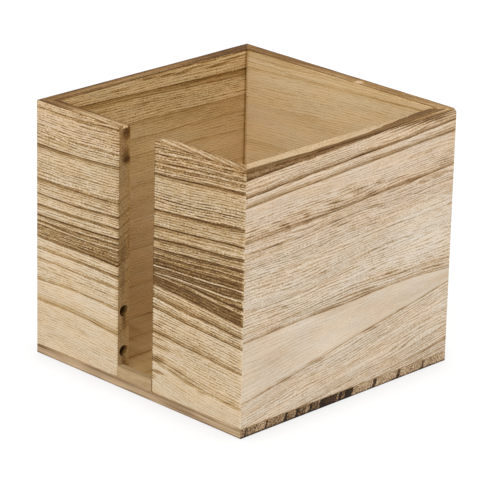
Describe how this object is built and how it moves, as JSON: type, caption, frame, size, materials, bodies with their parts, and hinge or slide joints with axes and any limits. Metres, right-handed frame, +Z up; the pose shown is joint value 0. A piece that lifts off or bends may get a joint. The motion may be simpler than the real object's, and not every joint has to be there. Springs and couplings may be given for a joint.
{
  "type": "slotted desk box",
  "caption": "Small open-topped wooden desk box, nearly a cube, with mitred walls, a flush base panel and a finger slot in the front wall, open from the rim down to a low sill.",
  "frame": {"origin": "centre of the underside of the base panel, on the surface that the box stands on", "axes": "+Z up, the slotted front wall faces -Y, +X to the right seen from the front"},
  "size_m": [0.11, 0.11, 0.101],
  "materials": {
    "wall_wood": "scorched and brushed paulownia, matt",
    "base_wood": "scorched and brushed paulownia, matt",
    "brad_steel": "bright drawn wire"
  },
  "bodies": {
    "root": {"base_panel": "base_wood", "front_left_board": "wall_wood", "front_right_board": "wall_wood", "right_side_board": "wall_wood", "left_side_board": "wall_wood", "back_board": "wall_wood", "slot_sill": "base_wood", "brad_front_left_1": "brad_steel", "brad_front_left_2": "brad_steel", "brad_front_right_1": "brad_steel", "brad_front_right_2": "brad_steel", "brad_right_side_1": "brad_steel", "brad_right_side_2": "brad_steel", "brad_right_side_3": "brad_steel", "brad_back_1": "brad_steel", "brad_back_2": "brad_steel", "brad_back_3": "brad_steel", "brad_left_side_1": "brad_steel", "brad_left_side_2": "brad_steel", "brad_left_side_3": "brad_steel"}
  },
  "joints": []
}
